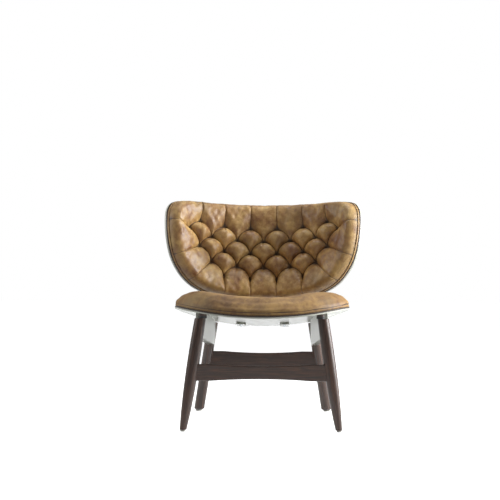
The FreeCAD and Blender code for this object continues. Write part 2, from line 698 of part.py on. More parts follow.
def make_brackets():
    """Brackets, their pads and their screws, with the holes that the screws need."""
    path = bracket_path()
    holes = []
    for name, (seat, direction, length) in screw_seats(path).items():
        add_pair("screw_" + name, screw(seat, direction, length, 0.0))
        holes.append(screw(seat, direction, length, MACHINING_CLEARANCE))
    lower, upper = bracket_pads(path)
    add_pair("back_bracket", bracket().cut(holes))
    add_pair("bracket_seat_pad", lower.cut(holes))
    add_pair("bracket_back_pad", upper.cut(holes))
    both_sides = holes + [mirrored(hole) for hole in holes]
    for name in ("seat_shell", "seat_board", "back_shell", "back_board"):
        NODES[name] = NODES[name].cut(both_sides)


# --- Export -------------------------------------------------------------------------------------
def export_all():
    """Centre the chair on the floor and write one file for each piece."""
    os.makedirs("parts", exist_ok=True)
    boxes = [shape.optimalBoundingBox(False, False) for shape in NODES.values()]
    middle = (min(box.YMin for box in boxes) + max(box.YMax for box in boxes)) / 2
    for name, shape in NODES.items():
        shape.translate(Vector(0, -middle, 0))
        shape.exportStep("parts/" + name + ".step")
    print(len(NODES), "pieces, moved along Y by", round(-middle, 3))


make_seat()
make_back()
make_underframe()
make_brackets()
export_all()
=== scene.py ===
import logging
import math
from dataclasses import dataclass, field
from enum import Enum
from typing import Iterable, Sequence

import bmesh
import bpy
import numpy as np
from mathutils import Matrix, Vector


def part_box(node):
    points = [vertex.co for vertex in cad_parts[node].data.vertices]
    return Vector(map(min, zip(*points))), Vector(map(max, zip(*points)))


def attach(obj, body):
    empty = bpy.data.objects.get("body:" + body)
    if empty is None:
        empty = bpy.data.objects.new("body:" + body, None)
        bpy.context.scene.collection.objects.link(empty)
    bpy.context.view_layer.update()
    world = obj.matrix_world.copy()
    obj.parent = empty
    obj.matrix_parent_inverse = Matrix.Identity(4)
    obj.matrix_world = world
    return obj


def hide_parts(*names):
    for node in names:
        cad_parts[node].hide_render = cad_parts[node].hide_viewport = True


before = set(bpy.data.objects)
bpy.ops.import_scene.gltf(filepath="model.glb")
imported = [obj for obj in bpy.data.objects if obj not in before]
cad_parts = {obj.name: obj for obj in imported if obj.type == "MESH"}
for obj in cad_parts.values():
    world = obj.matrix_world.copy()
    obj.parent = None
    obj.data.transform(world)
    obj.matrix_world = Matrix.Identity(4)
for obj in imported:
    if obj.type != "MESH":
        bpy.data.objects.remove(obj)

# Looks for a low lounge chair: a tufted leather back on a curved shell, a dished leather seat and a
# turned walnut underframe. Lengths are in metres; the sitter faces -Y, and right is +X, seen from the front.

LOG = logging.getLogger("lounge_chair")
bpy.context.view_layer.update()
MM = 0.001
BODY = "root"
Grid = np.ndarray


# --- Small tools --------------------------------------------------------------------------------
def linear(hex_colour: str) -> tuple[float, float, float, float]:
    """Turn an sRGB hex colour into the linear values that shaders use.

    Args:
        hex_colour: Six hex digits after a hash.

    Returns:
        Red, green, blue and an alpha of one.
    """
    channels = [int(hex_colour[i:i + 2], 16) / 255 for i in (1, 3, 5)]
    flat = [c / 12.92 if c <= 0.04045 else ((c + 0.055) / 1.055) ** 2.4 for c in channels]
    return (flat[0], flat[1], flat[2], 1.0)


def add_node(tree: bpy.types.NodeTree, kind: str, inputs: dict | None = None, **settings) -> bpy.types.Node:
    """Add a shader node.

    Args:
        tree: The node tree to add to.
        kind: The node's type name, such as ShaderNodeBump.
        inputs: Input name or index to a value, or to a socket that feeds it.
        **settings: The node's own properties.

    Returns:
        The new node.
    """
    node = tree.nodes.new(kind)
    for name, value in settings.items():
        setattr(node, name, value)
    for name, value in (inputs or {}).items():
        if isinstance(value, bpy.types.NodeSocket):
            tree.links.new(value, node.inputs[name])
        else:
            node.inputs[name].default_value = value
    return node


def ramp(tree: bpy.types.NodeTree, factor: bpy.types.NodeSocket,
         stops: Sequence[tuple[float, str]]) -> bpy.types.NodeSocket:
    """Turn a factor into a colour through a colour ramp.

    Args:
        tree: The node tree to add to.
        factor: The socket that drives the ramp.
        stops: Position and hex colour of each stop.

    Returns:
        The ramp's colour socket.
    """
    node = add_node(tree, "ShaderNodeValToRGB", {"Fac": factor})
    elements = node.color_ramp.elements
    while len(elements) < len(stops):
        elements.new(0.5)
    for element, (position, colour) in zip(elements, stops):
        element.position = position
        element.color = linear(colour)
    return node.outputs["Color"]


def deselect() -> None:
    """Leave nothing selected, so that the next operator acts on its own piece only."""
    if bpy.context.object and bpy.context.object.mode != "OBJECT":
        bpy.ops.object.mode_set(mode="OBJECT")
    bpy.ops.object.select_all(action="DESELECT")


def new_piece(name: str, points: Grid, faces: Iterable[Sequence[int]]) -> bpy.types.Object:
    """Make a smooth-shaded mesh piece at the origin.

    Args:
        name: The piece's name.
        points: One row of three coordinates for each vertex.
        faces: Vertex numbers of each face.

    Returns:
        The new piece.
    """
    mesh = bpy.data.meshes.new(name)
    mesh.from_pydata([tuple(point) for point in points], [], [tuple(face) for face in faces])
    mesh.update()
    piece = bpy.data.objects.new(name, mesh)
    bpy.context.scene.collection.objects.link(piece)
    mesh.polygons.foreach_set("use_smooth", [True] * len(mesh.polygons))
    return piece


def dress(piece: bpy.types.Object, material: bpy.types.Material) -> None:
    """Give a piece or a CAD node one material."""
    piece.data.materials.clear()
    piece.data.materials.append(material)


def seat_piece(piece: bpy.types.Object, replaced: Sequence[str] = ()) -> None:
    """Fix a new piece to the chair and hide the CAD nodes that it stands for."""
    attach(piece, BODY)
    if replaced:
        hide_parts(*replaced)
    LOG.info("%s: %d faces", piece.name, len(piece.data.polygons))


def note_crown(piece: bpy.types.Object, crown: Grid) -> None:
    """Store how open each point lies to light, which the leather's colour reads as painted shade.

    Args:
        piece: The piece.
        crown: One value for each vertex, from zero (tucked away) to one.
    """
    attribute = piece.data.attributes.new("crown", "FLOAT", "POINT")
    attribute.data.foreach_set("value", crown.astype(np.float32))


def swells(points: Grid, chance: np.random.Generator, count: int, waves_mm: tuple[float, float],
           height: float) -> Grid:
    """Slow random unevenness: plane waves added together.

    Args:
        points: Rows whose first two columns are the plane position.
        chance: Source of random numbers.
        count: Number of waves.
        waves_mm: Shortest and longest wave in millimetres.
        height: Height of each wave.

    Returns:
        Height to add to each point.
    """
    extra = np.zeros(len(points))
    for _ in range(count):
        way = chance.normal(size=2)
        wave = chance.uniform(*waves_mm) * MM
        way *= 2 * math.pi / wave / np.linalg.norm(way)
        phase = chance.uniform(0, 6.3)
        extra += height * np.sin(points[:, 0] * way[0] + points[:, 1] * way[1] + phase)
    return extra


def face_outwards(piece: bpy.types.Object) -> None:
    """Merge doubled points and point every face outwards.

    Args:
        piece: The piece, whose mesh is changed in place.
    """
    form = bmesh.new()
    form.from_mesh(piece.data)
    bmesh.ops.remove_doubles(form, verts=form.verts, dist=0.02 * MM)
    bmesh.ops.recalc_face_normals(form, faces=form.faces)
    form.to_mesh(piece.data)
    form.free()
    piece.data.polygons.foreach_set("use_smooth", [True] * len(piece.data.polygons))


def smooth_loop(points: Sequence[tuple[float, float]], per_span: int) -> Grid:
    """Run a smooth closed curve through points in a plane.

    Args:
        points: The points in order, the first not repeated.
        per_span: Samples on each span between two points.

    Returns:
        One row for each sample.
    """
    knots = np.array(points, float)
    before = np.roll(knots, 1, axis=0)
    after = np.roll(knots, -1, axis=0)
    reach_in = np.linalg.norm(knots - before, axis=1, keepdims=True)
    reach_out = np.linalg.norm(after - knots, axis=1, keepdims=True)
    arriving = (knots - before) / reach_in * reach_out
    leaving = (after - knots) / reach_out * reach_in
    slope = (arriving + leaving) / (reach_in + reach_out)
    samples = []
    for index in range(len(knots)):
        far = (index + 1) % len(knots)
        length = reach_out[index]
        for step in range(per_span):
            t = step / per_span
            samples.append(
                (2 * t ** 3 - 3 * t ** 2 + 1) * knots[index]
                + (t ** 3 - 2 * t ** 2 + t) * length * slope[index]
                + (3 * t ** 2 - 2 * t ** 3) * knots[far] + (t ** 3 - t ** 2) * length * slope[far]
            )
    return np.array(samples)


def resample(line: Grid, shares: Grid) -> Grid:
    """Points of a polyline at given shares of its length."""
    steps = np.linalg.norm(np.diff(line, axis=0), axis=1)
    reach = np.concatenate([[0.0], np.cumsum(steps)]) / steps.sum()
    return np.stack([np.interp(shares, reach, line[:, axis]) for axis in range(line.shape[1])], axis=1)


def drawn_in(loop: Grid, inset: Grid | float) -> Grid:
    """A closed plane loop, anticlockwise, moved inwards by an inset, or by one inset at each point."""
    along = np.roll(loop, -1, axis=0) - np.roll(loop, 1, axis=0)
    along /= np.linalg.norm(along, axis=1, keepdims=True)
    return loop + np.reshape(inset, (-1, 1)) * np.stack([-along[:, 1], along[:, 0]], axis=1)


# --- Finishes -----------------------------------------------------------------------------------
def principled(material: bpy.types.Material) -> bpy.types.Node:
    """The material's own Principled shader."""
    return material.node_tree.nodes["Principled BSDF"]


@dataclass(frozen=True)
class WaxedLeather:
    """Aniline cowhide rubbed with wax: mottled, with patchy gloss, and painted darker where its crown value
    is low, as painted shade in the pleats, round the tufts and at the seams.
    """

    name: str
    pale: str = "#bf9d62"
    tan: str = "#9c7745"
    brown: str = "#744c2a"
    painted_crease_shade: str = "#2b1a0f"
    olive: str = "#84704a"
    roughness: tuple[float, float] = (0.40, 0.56)
    coat: float = 0.16
    sheen: float = 0.0
    mottle_mm: float = 70.0
    cloud_mm: float = 18.0
    pebble_mm: float = 1.6
    crown_name: str = "crown"

    def build(self) -> bpy.types.Material:
        """Make the material."""
        material = bpy.data.materials.new(self.name)
        material.use_nodes = True
        tree = material.node_tree
        place = add_node(tree, "ShaderNodeTexCoord").outputs["Object"]
        mottle = add_node(tree, "ShaderNodeTexNoise", {
            "Vector": place, "Scale": 1 / (self.mottle_mm * MM), "Detail": 3.0, "Roughness": 0.55,
            "Distortion": 0.6})
        cloud = add_node(tree, "ShaderNodeTexNoise", {
            "Vector": place, "Scale": 1 / (self.cloud_mm * MM), "Detail": 6.0, "Roughness": 0.68,
            "Distortion": 0.3})
        blend = add_node(tree, "ShaderNodeMix", {
            0: 0.42, 2: mottle.outputs["Fac"], 3: cloud.outputs["Fac"]}, data_type="FLOAT")
        hide = ramp(tree, blend.outputs[0], [(0.36, self.brown), (0.49, self.tan), (0.62, self.pale)])
        tint_spots = add_node(tree, "ShaderNodeTexNoise", {
            "Vector": place, "Scale": 0.6 / (self.mottle_mm * MM), "Detail": 4.0, "Roughness": 0.6, "W": 3.0},
            noise_dimensions="4D")
        tint_mask = add_node(tree, "ShaderNodeMapRange", {
            "Value": tint_spots.outputs["Fac"], "From Min": 0.50, "From Max": 0.68, "To Max": 0.5})
        tinted = add_node(tree, "ShaderNodeMix", {
            0: tint_mask.outputs["Result"], 6: hide, 7: linear(self.olive)}, data_type="RGBA")
        crown = add_node(tree, "ShaderNodeAttribute", attribute_name=self.crown_name).outputs["Fac"]
        # Painted shade: a low crown value mixes the hide towards a near-black brown, standing for the shade
        # in pleats, round tufts and at seams.
        crease_shade_mask = add_node(tree, "ShaderNodeMapRange", {
            "Value": crown, "From Min": 0.02, "From Max": 0.30, "To Min": 0.85, "To Max": 0.0},
            interpolation_type="SMOOTHSTEP")
        skin = add_node(tree, "ShaderNodeMix", {
            0: crease_shade_mask.outputs["Result"], 6: tinted.outputs[2], 7: linear(self.painted_crease_shade)}, data_type="RGBA")

        pebble = add_node(tree, "ShaderNodeTexVoronoi", {
            "Vector": place, "Scale": 1 / (self.pebble_mm * MM), "Smoothness": 0.6}, feature="SMOOTH_F1")
        wrinkle = add_node(tree, "ShaderNodeTexNoise", {
            "Vector": place, "Scale": 1 / (7.0 * MM), "Detail": 5.0, "Roughness": 0.6, "Distortion": 1.2})
        grain = add_node(tree, "ShaderNodeBump", {
            "Height": pebble.outputs["Distance"], "Strength": 0.22, "Distance": 0.35 * MM})
        relief = add_node(tree, "ShaderNodeBump", {
            "Height": wrinkle.outputs["Fac"], "Strength": 0.35, "Distance": 1.1 * MM,
            "Normal": grain.outputs["Normal"]})
        rough = add_node(tree, "ShaderNodeMapRange", {
            "Value": cloud.outputs["Fac"], "From Min": 0.3, "From Max": 0.7,
            "To Min": self.roughness[0], "To Max": self.roughness[1]})
        shader = principled(material)
        tree.links.new(skin.outputs[2], shader.inputs["Base Color"])
        tree.links.new(rough.outputs["Result"], shader.inputs["Roughness"])
        tree.links.new(relief.outputs["Normal"], shader.inputs["Normal"])
        shader.inputs["IOR"].default_value = 1.5
        shader.inputs["Coat Weight"].default_value = self.coat
        shader.inputs["Coat Roughness"].default_value = 0.36
        shader.inputs["Sheen Weight"].default_value = self.sheen
        shader.inputs["Sheen Roughness"].default_value = 0.5
        return material


@dataclass(frozen=True)
class OiledWalnut:
    """Turned or planed black walnut under a satin oil: long dark streaks and open pores along the grain."""

    light: str = "#573b2b"
    mid: str = "#3f2a20"
    dark: str = "#2b1c15"
    streak_mm: float = 7.0
    pore_mm: float = 1.1
    stretch: float = 0.06

    def build(self, name: str, grain: Vector) -> bpy.types.Material:
        """Make the material for a piece whose grain runs one way.

        Args:
            name: The material's name.
            grain: Direction of the grain.

        Returns:
            The material.
        """
        material = bpy.data.materials.new(name)
        material.use_nodes = True
        tree = material.node_tree
        place = add_node(tree, "ShaderNodeTexCoord").outputs["Object"]
        turn = grain.normalized().rotation_difference(Vector((0, 0, 1))).to_euler()
        upright = add_node(tree, "ShaderNodeMapping", {"Vector": place, "Rotation": tuple(turn)})
        fibre = add_node(tree, "ShaderNodeMapping", {
            "Vector": upright.outputs["Vector"], "Scale": (1.0, 1.0, self.stretch)})
        streak = add_node(tree, "ShaderNodeTexNoise", {
            "Vector": fibre.outputs["Vector"], "Scale": 1 / (self.streak_mm * MM), "Detail": 5.0,
            "Roughness": 0.6, "Distortion": 0.9})
        pore = add_node(tree, "ShaderNodeTexNoise", {
            "Vector": fibre.outputs["Vector"], "Scale": 1 / (self.pore_mm * MM), "Detail": 2.0,
            "Roughness": 0.5})
        wood = ramp(tree, streak.outputs["Fac"], [(0.34, self.dark), (0.50, self.mid), (0.68, self.light)])
        pore_mask = add_node(tree, "ShaderNodeMapRange", {
            "Value": pore.outputs["Fac"], "From Min": 0.60, "From Max": 0.72, "To Max": 0.55})
        pored = add_node(tree, "ShaderNodeMix", {
            0: pore_mask.outputs["Result"], 6: wood, 7: linear(self.dark)}, data_type="RGBA")
        relief = add_node(tree, "ShaderNodeBump", {
            "Height": pore.outputs["Fac"], "Strength": 0.12, "Distance": 0.25 * MM})
        rough = add_node(tree, "ShaderNodeMapRange", {
            "Value": streak.outputs["Fac"], "From Min": 0.3, "From Max": 0.7, "To Min": 0.34, "To Max": 0.48})
        shader = principled(material)
        tree.links.new(pored.outputs[2], shader.inputs["Base Color"])
        tree.links.new(rough.outputs["Result"], shader.inputs["Roughness"])
        tree.links.new(relief.outputs["Normal"], shader.inputs["Normal"])
        shader.inputs["Coat Weight"].default_value = 0.08
        shader.inputs["Coat Roughness"].default_value = 0.3
        return material


@dataclass(frozen=True)
class PlainFinish:
    """A one-colour finish with the faint unevenness of how it was made."""

    name: str
    colour: str
    shade: str
    roughness: tuple[float, float] = (0.4, 0.5)
    metallic: float = 0.0
    coat: float = 0.0
    patch_mm: float = 40.0
    relief_mm: float = 1.5
    relief_depth_mm: float = 0.05

    def build(self) -> bpy.types.Material:
        """Make the material."""
        material = bpy.data.materials.new(self.name)
        material.use_nodes = True
        tree = material.node_tree
        place = add_node(tree, "ShaderNodeTexCoord").outputs["Object"]
        patch = add_node(tree, "ShaderNodeTexNoise", {
            "Vector": place, "Scale": 1 / (self.patch_mm * MM), "Detail": 4.0, "Roughness": 0.6})
        skin = ramp(tree, patch.outputs["Fac"], [(0.3, self.shade), (0.65, self.colour)])
        peel = add_node(tree, "ShaderNodeTexNoise", {
            "Vector": place, "Scale": 1 / (self.relief_mm * MM), "Detail": 2.0})
        relief = add_node(tree, "ShaderNodeBump", {
            "Height": peel.outputs["Fac"], "Strength": 0.3, "Distance": self.relief_depth_mm * MM})
        rough = add_node(tree, "ShaderNodeMapRange", {
            "Value": patch.outputs["Fac"], "From Min": 0.3, "From Max": 0.7,
            "To Min": self.roughness[0], "To Max": self.roughness[1]})
        shader = principled(material)
        tree.links.new(skin, shader.inputs["Base Color"])
        tree.links.new(rough.outputs["Result"], shader.inputs["Roughness"])
        tree.links.new(relief.outputs["Normal"], shader.inputs["Normal"])
        shader.inputs["Metallic"].default_value = self.metallic
        shader.inputs["Coat Weight"].default_value = self.coat
        shader.inputs["Coat Roughness"].default_value = 0.15
        return material


# --- Back ---------------------------------------------------------------------------------------
@dataclass(frozen=True)
class ShellSpace:
    """The curved back unrolled flat: distance round, height up, and depth in from the shell's outside."""

    radius: float = 430.0 * MM
    tilt: float = math.radians(17.0)
    lowest: float = 20.0 * MM
    highest: float = 399.0 * MM

    def base(self) -> Vector:
        """Foot of the shell's middle line, found from the shell's own box."""
        low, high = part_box("back_shell")
        back = high.y - self.highest * math.sin(self.tilt)
        return Vector((0.0, back, low.z - self.lowest * math.cos(self.tilt)))

    def place(self, unrolled: Grid) -> Grid:
        """Carry unrolled points to the chair.

        Args:
            unrolled: Rows of distance round, height up and depth in.

        Returns:
            Rows of X, Y and Z.
        """
        angle = unrolled[:, 0] / self.radius
        reach = self.radius - unrolled[:, 2]
        side = reach * np.sin(angle)
        back = reach * np.cos(angle) - self.radius
        base = self.base()
        cos_tilt = math.cos(self.tilt)
        sin_tilt = math.sin(self.tilt)
        y = base.y + back * cos_tilt + unrolled[:, 1] * sin_tilt
        z = base.z - back * sin_tilt + unrolled[:, 1] * cos_tilt
        return np.stack([side, y, z], axis=1)


class Panel(Enum):
    """The two kinds of leather panel between pleats."""

    DIAMOND = "diamond"
    BORDER = "border"


@dataclass
class TuftedBack:
    """Deep-tufted leather back: pad, edge band, covered buttons and the shell that carries them."""

    space: ShellSpace = field(default_factory=ShellSpace)
    right_outline: Sequence[tuple[float, float]] = (
        (0, 20), (142, 23), (248, 39), (307, 62), (350, 94), (386, 137), (411, 200),
        (422, 268), (417, 313), (397, 343), (354, 364), (294, 377), (193, 390), (0, 399),
    )
    pitch: float = 109.0 * MM
    rows: Sequence[tuple[str, float, int, float]] = (
        ("top", 292, 6, 3), ("upper", 243.5, 7, 14), ("middle", 194, 6, 7), ("lower", 142, 5, 7),
        ("bottom", 94, 4, 4),
    )
    tuft_depth: float = 27.0 * MM
    pleat_depth: float = 37.5 * MM
    border_pleat_depth: float = 52.0 * MM
    crease_depth: float = 6.0 * MM
    depth_fade: float = 3.2
    diamond_puff: float = 15.0 * MM
    border_puff: float = 12.0 * MM
    rim_depth: float = 17.0 * MM
    rim_inset: float = 4.0 * MM
    backing_depth: float = 11.5 * MM
    band_low: float = 10.6 * MM
    band_high: float = 19.0 * MM
    band_section: Sequence[tuple[float, float]] = (
        (14.0, 1.0), (3.2, 1.0), (1.9, 0.93), (1.2, 0.75), (1.0, 0.5),
        (1.2, 0.25), (1.9, 0.07), (3.2, 0.0), (14.0, 0.0),
    )
    fold_height: float = 1.5 * MM
    crease_height: float = 3.0 * MM
    crease_width: float = 1.7 * MM
    swell_height: float = 0.32 * MM
    button_radius: float = 5.6 * MM
    steps: int = 38
    border_steps: int = 34
    # Reach of the painted shade round each tuft.
    tuft_shade_reach: float = 12.0 * MM
    seed: int = 11
    _shares: Grid = field(init=False)
    _outline: Grid = field(init=False)

    def __post_init__(self) -> None:
        """Work out the shared step spacing and the outline."""
        even = np.linspace(0, 1, self.steps + 1)
        self._shares = 0.45 * even + 0.55 * 0.5 * (1 - np.cos(np.pi * even))
        right = [(x * MM, y * MM) for x, y in self.right_outline]
        left = [(-x, y) for x, y in reversed(right[1:-1])]
        self._outline = smooth_loop(right + left, 24)

    def tufts(self) -> list[list[tuple[float, float]]]:
        """Distance round and height up of every tuft, row by row.

        Returns:
            A list for each row, from the top.
        """
        table = []
        for _, height, count, lift in self.rows:
            row = []
            for index in range(count):
                rise = lift if index in (0, count - 1) else 0
                row.append(((index - (count - 1) / 2) * self.pitch, (height + rise) * MM))
            table.append(row)
        return table

    def pleat(self, upper: tuple[float, float], lower: tuple[float, float]) -> Grid:
        """Pleat between two tufts: it leaves the upper one nearly level and drops on to the lower one.

        Args:
            upper: Round and up of the upper tuft.
            lower: Round and up of the lower tuft.

        Returns:
            Rows of round, up and depth.
        """
        dx = lower[0] - upper[0]
        dy = upper[1] - lower[1]
        handles = np.array([
            upper, (upper[0] + 0.52 * dx, upper[1] - 0.10 * dy),
            (lower[0] - 0.06 * dx, lower[1] + 0.42 * dy), lower,
        ])
        t = self._shares[:, None]
        line = ((1 - t) ** 3 * handles[0] + 3 * (1 - t) ** 2 * t * handles[1]
                + 3 * (1 - t) * t ** 2 * handles[2] + t ** 3 * handles[3])
        pull = np.abs(2 * self._shares - 1) ** 2.0
        depth = self.pleat_depth + (self.tuft_depth - self.pleat_depth) * pull
        return np.column_stack([line, depth])

    def border_shares(self) -> Grid:
        """Step spacing from a tuft out to the edge, closest where the pad rolls over."""
        even = np.linspace(0, 1, self.border_steps + 1)
        return 0.3 * even + 0.7 * 0.5 * (1 - np.cos(np.pi * even))

    def border_pleat(self, tuft: tuple[float, float], edge: Grid) -> Grid:
        """Pleat from an outer tuft straight out to the edge of the pad.

        Args:
            tuft: Round and up of the tuft.
            edge: Round and up of its end on the rim.

        Returns:
            Rows of round, up and depth.
        """
        v = self.border_shares()
        line = np.outer(1 - v, tuft) + np.outer(v, edge)
        rise = np.clip(v / 0.66, 0, 1)
        rise = np.sin(0.5 * math.pi * rise) ** 1.2
        climb = self.tuft_depth + (self.border_pleat_depth - self.tuft_depth) * rise
        roll = np.clip((v - 0.74) / 0.26, 0, 1)
        fall = (1 - roll ** 2.4) ** 0.5
        depth = self.rim_depth + (climb - self.rim_depth) * fall
        return np.column_stack([line, depth])

    def edge_point(self, angle_from: tuple[float, float], towards: tuple[float, float]) -> int:
        """Number of the outline sample that a ray from a tuft meets.

        Args:
            angle_from: The tuft that the ray leaves.
            towards: A point that the ray heads for.

        Returns:
            The number of the nearest sample of the drawn-in outline.
        """
        loop = drawn_in(self._outline, self.rim_inset)
        ray = np.array(towards) - np.array(angle_from)
        ray /= np.linalg.norm(ray)
        gap = loop - np.array(angle_from)
        ahead = gap @ ray
        aside = np.abs(gap[:, 0] * ray[1] - gap[:, 1] * ray[0])
        aside[ahead < 0] = 9.0
        return int(np.argmin(aside))

    @staticmethod
    def arch(t: Grid, power: float, softness: float) -> Grid:
        """Rounded cross-section of a puff between two pleats, from zero to one and back."""
        return np.clip(1 - np.abs(2 * t - 1) ** power, 0, 1) ** softness

    def patch(self, bottom: Grid, top: Grid, left: Grid, right: Grid, kind: Panel,
              across: Grid, along: Grid) -> tuple[Grid, Grid]:
        """Fill a panel between its four edges and puff it up.

        Args:
            bottom: Edge where the second share is zero.
            top: Edge where the second share is one.
            left: Edge where the first share is zero.
            right: Edge where the first share is one.
            kind: Diamond or border panel.
            across: First shares.
            along: Second shares.

        Returns:
            Points as a grid of rows, and how far each point is up its puff, from zero to one.
        """
        u = across[None, :, None]
        v = along[:, None, None]
        # On a border panel the depth of the inner pleats fades out faster than their line does.
        fade = 1.0 if kind is Panel.DIAMOND else self.depth_fade
        near = np.concatenate([1 - v, 1 - v, (1 - v) ** fade], axis=2)
        ruled = near * bottom[None] + (1 - near) * top[None] + (1 - u) * left[:, None] + u * right[:, None]
        corners = ((1 - u) * near * bottom[0] + u * near * bottom[-1]
                   + (1 - u) * (1 - near) * top[0] + u * (1 - near) * top[-1])
        points = ruled - corners
        # The crown is how far each point is up its puff; the leather reads it as painted shade, darkest in
        # the pleats.
        if kind is Panel.DIAMOND:
            crown = self.arch(across, 2.3, 0.66)[None, :] * self.arch(along, 2.3, 0.66)[:, None]
            points[:, :, 2] += self.diamond_puff * crown
        else:
            out = np.clip(along / 0.62, 0, 1)
            out = (out * out * (3 - 2 * out))[:, None]
            rounded = self.arch(across, 2.6, 0.62)[None, :]
            creased = self.arch(across, 14.0, 0.8)[None, :]
            rise = self.arch(along ** 1.1, 2.8, 0.55)[:, None]
            puff = self.border_puff * (1 - out) * rounded + self.crease_depth * out * creased
            points[:, :, 2] += rise * puff
            # The crown sets the leather's painted shade: on the rim side it stays high until just short of
            # the rim, so the rolled edge is painted dark only along the rim line.
            open_side = np.where(along < 0.5, self.arch(along, 2.8, 0.55), np.clip((1 - along) * 30, 0.2, 1))
            crown = ((1 - out) * rounded + out * creased) * open_side[:, None]
        return points, crown

    def panels(self) -> list[tuple[Grid, Grid, bool]]:
        """Every panel of the pad's face: points, crown and if its far side is the pad's rim.

        Returns:
            One entry for each panel.
        """
        table = self.tufts()
        shares = self._shares
        found = []
        for upper, middle, lower in zip(table, table[1:], table[2:]):
            for peak in upper:
                left = self.nearest(middle, (peak[0] - self.pitch / 2, middle[0][1]))
                right = self.nearest(middle, (peak[0] + self.pitch / 2, middle[0][1]))
                foot = self.nearest(lower, (peak[0], lower[0][1]))
                if left is None or right is None or foot is None:
                    continue
                found.append((*self.patch(
                    self.pleat(peak, right), self.pleat(left, foot), self.pleat(peak, left),
                    self.pleat(right, foot), Panel.DIAMOND, shares, shares), False))
        return found + self.border_panels()

    def nearest(self, row: Sequence[tuple[float, float]],
                spot: tuple[float, float]) -> tuple[float, float] | None:
        """The tuft of a row that stands at a distance round, if there is one."""
        for tuft in row:
            if abs(tuft[0] - spot[0]) < 0.2 * self.pitch:
                return tuft
        return None

    def rim_walk(self) -> list[tuple[tuple[float, float], tuple[float, float], bool]]:
        """Outer tufts clockwise from the top left, each with where its pleat heads and if it has one.

        Returns:
            One entry for each tuft.
        """
        top, upper, middle, lower, bottom = self.tufts()
        walk = []
        for index, tuft in enumerate(top):
            lean = 0.04 * tuft[0]
            walk.append((tuft, (tuft[0] + lean, 0.6), True))
            if index + 1 < len(top):
                walk.append((upper[index + 1], (0, 0), False))
        walk.append((upper[-1], (0.6, upper[-1][1] + 0.045), True))
        walk.append((middle[-1], (middle[-1][0] + 0.132, middle[-1][1] - 0.062), True))
        walk.append((lower[-1], (lower[-1][0] + 0.100, lower[-1][1] - 0.090), True))
        for index in range(len(bottom) - 1, -1, -1):
            tuft = bottom[index]
            walk.append((tuft, (tuft[0] * 1.04, -0.4), True))
            if index:
                walk.append((lower[index], (0, 0), False))
        walk.append((lower[0], (lower[0][0] - 0.100, lower[0][1] - 0.090), True))
        walk.append((middle[0], (middle[0][0] - 0.132, middle[0][1] - 0.062), True))
        walk.append((upper[0], (-0.6, upper[0][1] + 0.045), True))
        return walk

    def inner_edge(self, start: tuple[float, float], end: tuple[float, float]) -> Grid:
        """Pleat between two tufts in the order asked for."""
        if start[1] >= end[1]:
            return self.pleat(start, end)
        return self.pleat(end, start)[::-1]

    def border_panels(self) -> list[tuple[Grid, Grid, bool]]:
        """Panels between the outer tufts and the pad's edge.

        Returns:
            Points, crown and a true flag for each panel.
        """
        rim = drawn_in(self._outline, self.rim_inset)
        walk = self.rim_walk()
        anchors = [index for index, item in enumerate(walk) if item[2]]
        found = []
        along = self.border_shares()
        for start, end in zip(anchors, anchors[1:] + anchors[:1]):
            stops = [start]
            while stops[-1] != end:
                stops.append((stops[-1] + 1) % len(walk))
            inner = [self.inner_edge(walk[a][0], walk[b][0]) for a, b in zip(stops, stops[1:])]
            bottom = inner[0]
            shares = self._shares
            if len(inner) == 2:
                bottom = np.vstack([inner[0], inner[1][1:]])
                shares = np.concatenate([self._shares * 0.5, 0.5 + self._shares[1:] * 0.5])
            first = self.edge_point(walk[start][0], walk[start][1])
            last = self.edge_point(walk[end][0], walk[end][1])
            count = len(rim)
            # The outline runs anticlockwise and the walk clockwise, so the rim is read backwards.
            span = (first - last) % count
            line = np.array([rim[(first - step) % count] for step in range(span + 1)])
            top = resample(line, shares)
            top = np.column_stack([top, np.full(len(top), self.rim_depth)])
            left = self.border_pleat(walk[start][0], rim[first])
            right = self.border_pleat(walk[end][0], rim[last])
            found.append((*self.patch(bottom, top, left, right, Panel.BORDER, shares, along), True))
        return found

    def near_tufts(self, points: Grid) -> Grid:
        """How near each point is to a tuft, from one at its middle to zero a finger's width away.

        Args:
            points: Rows of round, up and depth.

        Returns:
            One value for each point.
        """
        near = np.zeros(len(points))
        for row in self.tufts():
            for round_, up in row:
                reach = np.hypot(points[:, 0] - round_, points[:, 1] - up)
                near = np.maximum(near, np.exp(-(reach / self.tuft_shade_reach) ** 2))
        return near

    def wrinkles(self, points: Grid, crown: Grid) -> Grid:
        """Folds that run out of the tufts, and the slight unevenness of hand-stuffed puffs.

        Args:
            points: Rows of round, up and depth.
            crown: How far each point is up its puff.

        Returns:
            Depth to add to each point.
        """
        chance = np.random.default_rng(self.seed)
        extra = np.zeros(len(points))
        for row in self.tufts():
            for round_, up in row:
                dx = points[:, 0] - round_
                dy = points[:, 1] - up
                reach = np.hypot(dx, dy)
                angle = np.arctan2(dy, dx)
                folds = chance.integers(7, 11)
                phase = chance.uniform(0, 2 * math.pi)
                fade = np.clip(reach / (7 * MM), 0, 1) * np.exp(-np.clip(reach - 8 * MM, 0, None) / (13 * MM))
                extra += self.fold_height * fade * np.cos(folds * angle + phase + 40 * reach)
                for _ in range(3):
                    lean = chance.uniform(-0.55, 0.55)
                    length = chance.uniform(16, 36) * MM
                    strength = chance.uniform(0.5, 1.0) * self.crease_height
                    offset = dx - lean * dy
                    down = np.clip(-dy / length, 0, 1)
                    along = np.where(dy < 0, np.clip(down * 6, 0, 1) * (1 - down) ** 0.8, 0)
                    extra -= strength * along * np.exp(-(offset / self.crease_width) ** 2)
        extra += swells(points, chance, 9, (26, 70), self.swell_height)
        return extra * np.clip(crown * 2.5, 0, 1)

